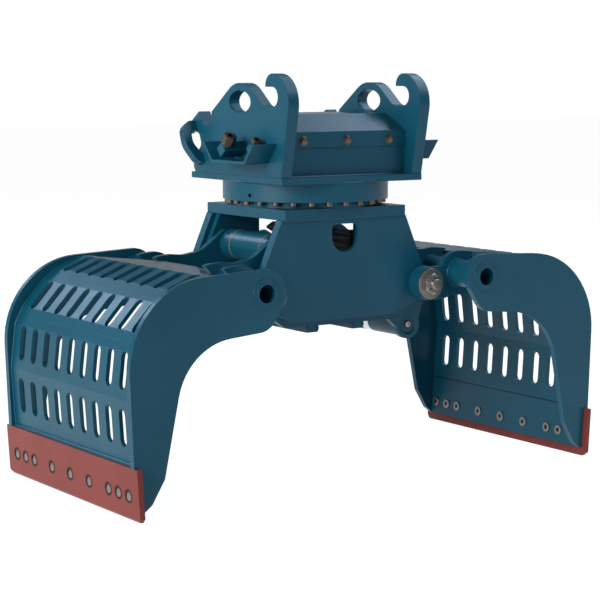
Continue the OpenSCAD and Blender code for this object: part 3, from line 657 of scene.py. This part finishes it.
class GRAPPLE_OT_pivot_nuts(bpy.types.Operator):
    """Makes the castle nuts, washers and threaded ends of the pivot pins"""
    bl_idname = "grapple.pivot_nuts"
    bl_label = "Pivot nuts"

    def execute(self, context):
        sizes, steel = context.scene.grapple_sizes, finishes()["bolt_steel"]
        flat, stud = sizes.nut_across / 2, sizes.stud
        washer_profile = [(0.0605, -0.001), (0.061, 0.0005), (0.061, 0.0035), (0.0602, 0.004)]
        nut_low, nut_high, crown_low, tooth_height = 0.0035, 0.0235, 0.0225, 0.0085
        t = np.linspace(0, 2 * np.pi, 144, endpoint=False)
        crown = crown_low + tooth_height * (np.cos(6 * t) > -0.35)
        valley = np.full(len(t), crown_low)
        steps = (
            (flat * 0.92, valley), (flat * 0.90, crown), (stud + 0.0015, crown), (stud + 0.0012, valley),
        )
        pitch, depth, thread_low, thread_high = 0.003, 0.0009, 0.004, 0.040
        h = np.linspace(thread_low, thread_high, 97)
        thread = stud - depth + depth * np.abs((h / pitch) % 1 * 2 - 1)
        thread_profile = np.concatenate([np.stack([thread, h], 1), [[stud - 0.004, 0.0425]]])
        for side, body in SHELLS:
            grids = []
            for s in (-1, 1):
                origin = at(PIVOT, s * EAR_FACE, side)
                axis, a, b = frame_of([0, s, 0])
                grids.append(turned(washer_profile, origin, axis, 72))
                grids.append(hexed(flat, nut_low, nut_high, origin, axis))
                turn = np.cos(t)[:, None] * a + np.sin(t)[:, None] * b
                rings = [origin + radius * turn + height[:, None] * axis for radius, height in steps]
                grids.append((np.stack(rings), False, True))
                grids.append(turned(thread_profile, origin, axis, 48))
            piece = skin(body + "_castle_nuts", grids, steel, body)
            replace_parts(piece, body.split("_")[0] + "_pivot_nuts")
        return {"FINISHED"}


class GRAPPLE_OT_edge_bolts(bpy.types.Operator):
    """Makes the bolts of the cutting edges, with rims outside and with washers and bolt ends inside. The rims
    are a deeper red that paints the shade of a recess round each head, and the bolt ends are near-black
    painted shade of the holes
    """
    bl_idname = "grapple.edge_bolts"
    bl_label = "Edge bolts"

    def execute(self, context):
        steel, shade_black, recess = (finishes()[key] for key in ("bolt_steel", "painted_shade_black", "painted_recess_shade"))
        head_seat, rim_seat, nut_seat = EDGE_X + 0.012, EDGE_X + 0.020, EDGE_X - 0.0152
        end_profile = [(0.0091, -0.0010), (0.0091, 0.0036), (0.0080, 0.0042)]
        for side, body in SHELLS:
            out, into = [side, 0, -EDGE_LEAN], [-side, 0, EDGE_LEAN]
            heads, nuts, ends, rims = [], [], [], []
            for y in EDGE_BOLT_Y:
                head, rim, nut = (at((x, EDGE_BOLT_Z), y, side) for x in (head_seat, rim_seat, nut_seat))
                heads.append(hexed(flat=0.0165, low=-0.001, high=0.0075, origin=head, axis=[side, 0, 0],
                                   count=48))
                rims.append(washer(inner=0.0190, outer=0.0262, low=-0.003, high=0.001, origin=rim, axis=out))
                nuts.append(washer(inner=0.0092, outer=0.0195, low=-0.001, high=0.005, origin=nut, axis=into))
                ends.append(turned(end_profile, nut, into, 32))
            piece = skin(body + "_edge_heads", heads, steel, body)
            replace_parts(piece, body.split("_")[0] + "_edge_bolts")
            # Rims in deeper red: painted shade of a recess round each bolt head
            skin(body + "_edge_rims", rims, recess, body)
            skin(body + "_edge_nuts", nuts, steel, body)
            # Near-black bolt ends: painted shade inside the holes of the washers
            skin(body + "_edge_bolt_ends", ends, shade_black, body)
        return {"FINISHED"}


class GRAPPLE_OT_slew_bolts(bpy.types.Operator):
    """Makes the socket-head bolts of the slew housing"""
    bl_idname = "grapple.slew_bolts"
    bl_label = "Slew bolts"

    def execute(self, context):
        count, first_angle, circle_radius = 28, 8.7, 0.305
        profile = [(0.0126, 0.0), (0.013, 0.0006), (0.013, 0.0135), (0.0118, 0.015), (0.0075, 0.015),
                   (0.0070, 0.0085)]
        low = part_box("slew_housing")[0].z
        grids = []
        for k in range(count):
            t = np.radians(first_angle + 360 * k / count)
            place = [circle_radius * np.cos(t), circle_radius * np.sin(t), low]
            grids.append(turned(profile, place, [0, 0, -1], 24))
        piece = skin("slew_socket_bolts", grids, finishes()["fitting_steel"], "head")
        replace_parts(piece, "housing_bolts")
        return {"FINISHED"}


class GRAPPLE_OT_cover_bolts(bpy.types.Operator):
    """Makes the flange bolts of the cover"""
    bl_idname = "grapple.cover_bolts"
    bl_label = "Cover bolts"

    def execute(self, context):
        cover_face, row_height = 0.281, 0.135
        flange_profile = [(0.0183, 0), (0.0183, 0.0016), (0.0172, 0.0026), (0.013, 0.003)]
        grids = []
        for s in (-1, 1):
            for x in (-0.2, 0, 0.2):
                origin, axis = [x, s * cover_face, HEAD_TOP + row_height], [0, s, 0]
                grids.append(turned(flange_profile, origin, axis, 40))
                grids.append(hexed(flat=0.0132, low=0.0024, high=0.0118, origin=origin, axis=axis, count=48))
        piece = skin("cover_flange_bolts", grids, finishes()["fitting_steel"], "head")
        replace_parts(piece, "cover_bolts")
        return {"FINISHED"}


# Hook plate seen from the side, in millimetres. Outline: y, height above the head plate and corner radius
HOOK_OUTLINE = (
    (-320, 0, 0), (-371, 262, 100), (-371, 389, 112), (-212, 386, 46), (-215, 337.5, 4), (-262, 337.5, 0),
    (-262, 262.5, 0), (-196, 262.5, 60), (-84, 351, 120), (6, 351, 130), (168, 239, 5), (176, 183, 26),
    (232, 183, 26), (254, 238, 6), (264, 238, 8), (325, 196, 14), (312, 166, 14), (262, 152, 20),
    (244, 106, 24), (300, 62, 20), (306, 20, 16), (292, 0, 0),
)
# Round end of the mouth: y, height and radius. Lifting eye: y, height, half length and half height
HOOK_MOUTH = (-262, 300, 37.5)
EYE = (-37, 280, 76, 43)
# Guard bar seen from behind, in millimetres: reach past the hook plate, height and corner radius
BAR_OUTER = ((0, -88, 0), (30, -84, 40), (68, -10, 90), (64, 62, 40), (34, 88, 26), (0, 88, 0))
BAR_INNER = ((0, -48, 0), (8, -47, 14), (34, -4, 50), (32, 32, 18), (16, 46, 12), (0, 46, 0))


class GRAPPLE_OT_hook_plates(bpy.types.Operator):
    """Makes the two hook plates with their full round corners, mouth, notch and lifting eye"""
    bl_idname = "grapple.hook_plates"
    bl_label = "Hook plates"

    def execute(self, context):
        blue = finishes()["blue_paint"]
        outline = rounded(HOOK_OUTLINE)
        y, z, radius = HOOK_MOUTH
        mouth = ellipse((y, z), radius, radius, np.radians(np.linspace(90, 270, 41))[1:-1])
        upper = int(np.argmin(np.linalg.norm(outline - (y, z + radius), axis=1)))
        outline = np.insert(outline, upper + 1, mouth, axis=0)
        eye = ellipse(EYE[:2], EYE[2], EYE[3], np.linspace(0, 2 * np.pi, 72, endpoint=False))
        loops = [loop / 1000 + (0, HEAD_TOP) for loop in (outline, eye)]
        for node in ("hook_plate_left", "hook_plate_right"):
            low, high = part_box(node)
            piece = plate(node + "_round", loops, low.x, high.x, blue, "head")
            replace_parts(piece, node)
        return {"FINISHED"}


class GRAPPLE_OT_guard_bars(bpy.types.Operator):
    """Makes the bent bars that keep loads off the hoses"""
    bl_idname = "grapple.guard_bars"
    bl_label = "Guard bars"

    def execute(self, context):
        blue = finishes()["blue_paint"]
        low, high, tilt = -0.020, 0.014, -24
        origin = (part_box("hook_plate_right")[1].x, 0.273, HEAD_TOP + 0.113)
        outer, inner = (even(rounded(line), 44)[0] / 1000 for line in (BAR_OUTER, BAR_INNER))
        for side, node in ((-1, "guard_bar_left"), (1, "guard_bar_right")):
            grid = strap(outer, inner, low, high, tilt, origin, side)
            piece = skin(node + "_round", [grid], blue, "head")
            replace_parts(piece, node)
        return {"FINISHED"}


class GRAPPLE_OT_seal_rings(bpy.types.Operator):
    """Makes the thin bearing rings on both sides of the cylinder's cross tube"""
    bl_idname = "grapple.seal_rings"
    bl_label = "Seal rings"

    def execute(self, context):
        profile = [(0.0570, -0.0055), (0.0596, -0.0053), (0.0596, -0.0002), (0.0570, 0.0)]
        low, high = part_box("cylinder_seals")
        rings = []
        for y, s in ((low.y, -1), (high.y, 1)):
            rings.append(turned(profile, at(UPPER, y, -1), [0, s, 0], 96))
        piece = skin("bearing_rings", rings, finishes()["bronze"], "left_shell")
        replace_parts(piece, "cylinder_seals")
        return {"FINISHED"}


# Ports in metres: reach of the block, its y, z and width, then half the fitting's width across flats, and the
# heights of its neck and its hexagon. Blocks and fittings lean back by an angle in degrees
PORTS = (
    (0.097, -0.056, 1.268, 0.042, 0.0225, 0.006, 0.040),
    (0.057, -0.192, 1.272, 0.034, 0.0165, 0.006, 0.022),
)
PORT_LEAN = 36


class GRAPPLE_OT_ports(bpy.types.Operator):
    """Makes the port blocks and the hydraulic fittings on the outside of the hook plates"""
    bl_idname = "grapple.ports"
    bl_label = "Port blocks and fittings"

    def execute(self, context):
        blue, gun, shade_black = (finishes()[key] for key in ("blue_paint", "fitting_steel", "painted_shade_black"))
        face_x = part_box("hook_plate_right")[1].x
        lean = np.radians(PORT_LEAN)
        up = np.array([0, -np.sin(lean), np.cos(lean)])
        from_end = 0.020
        # Radii of the neck, the hole and its floor, as shares of the fitting's half width. The floor is a
        # near-black disc of painted shade inside the hole
        shares = np.array([0.78, 0.56, 0.55])
        blocks, fittings, bores = [], [], []
        for side in (-1, 1):
            for reach, y, z, wide, flat, neck, tall in PORTS:
                root = [side * face_x, y, z]
                blocks.append(prism(square(wide, PORT_LEAN), low=-0.001, high=reach, chamfer=0.002,
                                    origin=root, axis=[side, 0, 0]))
                seat = np.array([side * (face_x + reach - from_end), y, z]) + up * wide / 2
                neck_radius, hole_radius, floor_radius = flat * shares
                fittings.append(turned([(neck_radius, -0.002), (neck_radius, neck + 0.001)], seat, up, 40))
                fittings.append(hexed(flat, neck, neck + tall, seat, up, 72, hole_radius))
                floor = [(floor_radius, neck + tall * 0.62), (floor_radius, neck + tall * 0.66),
                         (flat * 0.2, neck + tall * 0.64)]
                bores.append(turned(floor, seat, up, 32))
        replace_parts(skin("port_cubes", blocks, blue, "head"), "port_blocks")
        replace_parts(skin("port_unions", fittings, gun, "head"), "hose_fittings")
        # The bore floors are near-black painted shade
        skin("port_bores", bores, shade_black, "head")
        return {"FINISHED"}


class GRAPPLE_OT_pin_details(bpy.types.Operator):
    """Adds the retaining bolts of the lower pin with near-black wells of painted recess shade round them, and
    the grease points of the upper bosses as near-black holes of painted shade that also stand for the black
    grease in them
    """
    bl_idname = "grapple.pin_details"
    bl_label = "Pin details"

    def execute(self, context):
        steel, shade_black = finishes()["bright_steel"], finishes()["painted_shade_black"]
        well_profile = [(0.0165, -0.001), (0.0165, 0.0008), (0.0150, 0.0012), (0.0120, 0.0006)]
        bolt_profile = [(0.0122, 0.0002), (0.0122, 0.0062), (0.0108, 0.0080), (0.0058, 0.0084),
                        (0.0050, 0.0040)]
        low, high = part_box("lower_pin")
        bolts, wells = [], []
        for y, s in ((low.y, -1), (high.y, 1)):
            place, out = at(LOWER, y), [0, s, 0]
            wells.append(turned(well_profile, place, out, 48))
            bolts.append(turned(bolt_profile, place, out, 40))
        skin("lower_pin_bolts", bolts, steel, "frame")
        # Wells: near-black rings of painted shade standing for the recess round each bolt
        skin("lower_pin_wells", wells, shade_black, "frame")

        grease_y, lean = 0.142, np.radians(48)
        grease_profile = [(0.0075, -0.003), (0.0075, 0.0006), (0.0062, 0.0012), (0.0050, 0.0012),
                          (0.0045, -0.0010)]
        for side, body in SHELLS:
            out = np.array([side * np.cos(lean), 0, np.sin(lean)])
            points = []
            for y in (-grease_y, grease_y):
                points.append(turned(grease_profile, at(UPPER, y, side) + BOSS_RADIUS * out, out, 32))
            # Grease points: near-black painted shade of the holes, also standing for the grease in them
            skin(body + "_grease_points", points, shade_black, body)
        return {"FINISHED"}


def seen_by(tree, first, second):
    """Output that is 1 for rays of two kinds of the Light Path node and 0 for all others."""
    path = tree.nodes.new("ShaderNodeLightPath")
    either = tree.nodes.new("ShaderNodeMath")
    either.operation = "MAXIMUM"
    tree.links.new(path.outputs[first], either.inputs[0])
    tree.links.new(path.outputs[second], either.inputs[1])
    return either.outputs[0]


def lamp(name, place, aim, width, height, power, colour=(1, 1, 1)):
    """Rectangular lamp at a place, turned to an aim."""
    data = bpy.data.lights.new(name, "AREA")
    data.shape, data.size, data.size_y = "RECTANGLE", width, height
    data.energy, data.color = power, colour
    item = bpy.data.objects.new(name, data)
    bpy.context.scene.collection.objects.link(item)
    item.location = place
    item.rotation_euler = (Vector(aim) - Vector(place)).to_track_quat("-Z", "Y").to_euler()


def pale_floor(half_size, drop):
    """Matt floor that shows almost white to the camera and in reflections, and keeps the object's shadow."""
    mesh = bpy.data.meshes.new("floor")
    s = half_size
    mesh.from_pydata([(-s, -s, 0), (s, -s, 0), (s, s, 0), (-s, s, 0)], [], [(0, 1, 2, 3)])
    floor = bpy.data.objects.new("floor", mesh)
    bpy.context.scene.collection.objects.link(floor)
    floor.location.z = -drop
    pale = bpy.data.materials.new("pale_floor")
    pale.use_nodes = True
    tree = pale.node_tree
    tree.nodes.remove(tree.nodes["Principled BSDF"])
    matt = tree.nodes.new("ShaderNodeBsdfDiffuse")
    matt.inputs["Color"].default_value = (0.80, 0.80, 0.81, 1)
    glow = tree.nodes.new("ShaderNodeEmission")
    glow.inputs["Color"].default_value = (1, 1, 1, 1)
    glow.inputs["Strength"].default_value = 1.2
    share = tree.nodes.new("ShaderNodeMath")
    share.operation = "MULTIPLY"
    share.inputs[1].default_value = 0.80
    tree.links.new(seen_by(tree, "Is Camera Ray", "Is Glossy Ray"), share.inputs[0])
    blend = tree.nodes.new("ShaderNodeMixShader")
    tree.links.new(share.outputs[0], blend.inputs[0])
    tree.links.new(matt.outputs[0], blend.inputs[1])
    tree.links.new(glow.outputs[0], blend.inputs[2])
    tree.links.new(blend.outputs[0], tree.nodes["Material Output"].inputs["Surface"])
    mesh.materials.append(pale)


def white_world(ambient):
    """World that shows white to the camera and lights the object with the given strength."""
    world = bpy.data.worlds.new("studio")
    bpy.context.scene.world = world
    world.use_nodes = True
    tree = world.node_tree
    back = tree.nodes["Background"]
    back.inputs["Color"].default_value = (1, 1, 1, 1)
    level = tree.nodes.new("ShaderNodeMapRange")
    level.inputs["To Min"].default_value = ambient
    level.inputs["To Max"].default_value = 1.0
    tree.links.new(seen_by(tree, "Is Camera Ray", "Is Transmission Ray"), level.inputs["Value"])
    tree.links.new(level.outputs["Result"], back.inputs["Strength"])


# Camera that matches the photograph: focal length and width in pixels, place and aim in metres, lens shift
FOCAL_PIXELS = 1877
PHOTO_PIXELS = 600
SENSOR_WIDTH = 36.0
EYE_POINT = (-4.1558, -6.1054, 1.566)
AIM_POINT = (0, 0, 0.658)
LENS_SHIFT = (-0.0089, 0.001)


class GRAPPLE_OT_studio(bpy.types.Operator):
    """Sets up the pale floor, the soft lamps, the world and the camera"""
    bl_idname = "grapple.studio"
    bl_label = "Studio"

    def execute(self, context):
        look, scene = context.scene.grapple_studio, context.scene
        scene.view_settings.view_transform = "Standard"
        pale_floor(half_size=40.0, drop=0.0005)
        white_world(look.ambient)
        lamp("key", place=(-13.2, -2.2, 4.4), aim=(0, 0, 0.6), width=8.0, height=6.0, power=look.key)
        lamp("sky", place=(4.9, -0.9, 6.6), aim=(0, 0, 0.9), width=11.0, height=2.6, power=look.top,
             colour=(0.70, 0.83, 1.0))
        lamp("rear", place=(-3.1, 7.6, 5.7), aim=(-0.9, 0, 0.7), width=3.0, height=2.4, power=look.rear,
             colour=(0.62, 0.78, 1.0))
        lamp("low", place=(4.8, 8.0, 2.9), aim=(0, 0, 0.9), width=4.0, height=1.8, power=look.low,
             colour=(1.0, 0.84, 0.72))

        data = bpy.data.cameras.new("view")
        data.sensor_width = SENSOR_WIDTH
        data.lens = FOCAL_PIXELS * SENSOR_WIDTH / PHOTO_PIXELS
        data.shift_x, data.shift_y = LENS_SHIFT
        camera = bpy.data.objects.new("view", data)
        scene.collection.objects.link(camera)
        camera.location = EYE_POINT
        camera.rotation_euler = (Vector(AIM_POINT) - Vector(EYE_POINT)).to_track_quat("-Z", "Y").to_euler()
        scene.camera = camera
        return {"FINISHED"}


class GRAPPLE_PT_panel(bpy.types.Panel):
    """Lists the settings and the steps of the grapple"""
    bl_label = "Grapple"
    bl_idname = "GRAPPLE_PT_panel"
    bl_space_type = "VIEW_3D"
    bl_region_type = "UI"
    bl_category = "Grapple"

    def draw(self, context):
        for group in ("grapple_paint", "grapple_sizes", "grapple_studio"):
            box = self.layout.box()
            settings = getattr(context.scene, group)
            for key in settings.__annotations__:
                box.prop(settings, key)
        for step in STEPS:
            self.layout.operator(step.bl_idname)


STEPS = (
    GRAPPLE_OT_studio, GRAPPLE_OT_paint, GRAPPLE_OT_frame_welds, GRAPPLE_OT_shell_welds,
    GRAPPLE_OT_pivot_nuts, GRAPPLE_OT_edge_bolts, GRAPPLE_OT_slew_bolts, GRAPPLE_OT_cover_bolts,
    GRAPPLE_OT_hook_plates, GRAPPLE_OT_guard_bars, GRAPPLE_OT_ports, GRAPPLE_OT_pin_details,
    GRAPPLE_OT_seal_rings,
)
CLASSES = (GrapplePaint, GrappleSizes, GrappleStudio, *STEPS, GRAPPLE_PT_panel)


def register():
    for item in CLASSES:
        bpy.utils.register_class(item)
    bpy.types.Scene.grapple_paint = bpy.props.PointerProperty(type=GrapplePaint)
    bpy.types.Scene.grapple_sizes = bpy.props.PointerProperty(type=GrappleSizes)
    bpy.types.Scene.grapple_studio = bpy.props.PointerProperty(type=GrappleStudio)


def unregister():
    del bpy.types.Scene.grapple_paint, bpy.types.Scene.grapple_sizes, bpy.types.Scene.grapple_studio
    for item in reversed(CLASSES):
        bpy.utils.unregister_class(item)


def main():
    """Registers the add-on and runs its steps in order."""
    register()
    for step in STEPS:
        group, name = step.bl_idname.split(".")
        getattr(getattr(bpy.ops, group), name)()


if __name__ == "__main__":
    main()
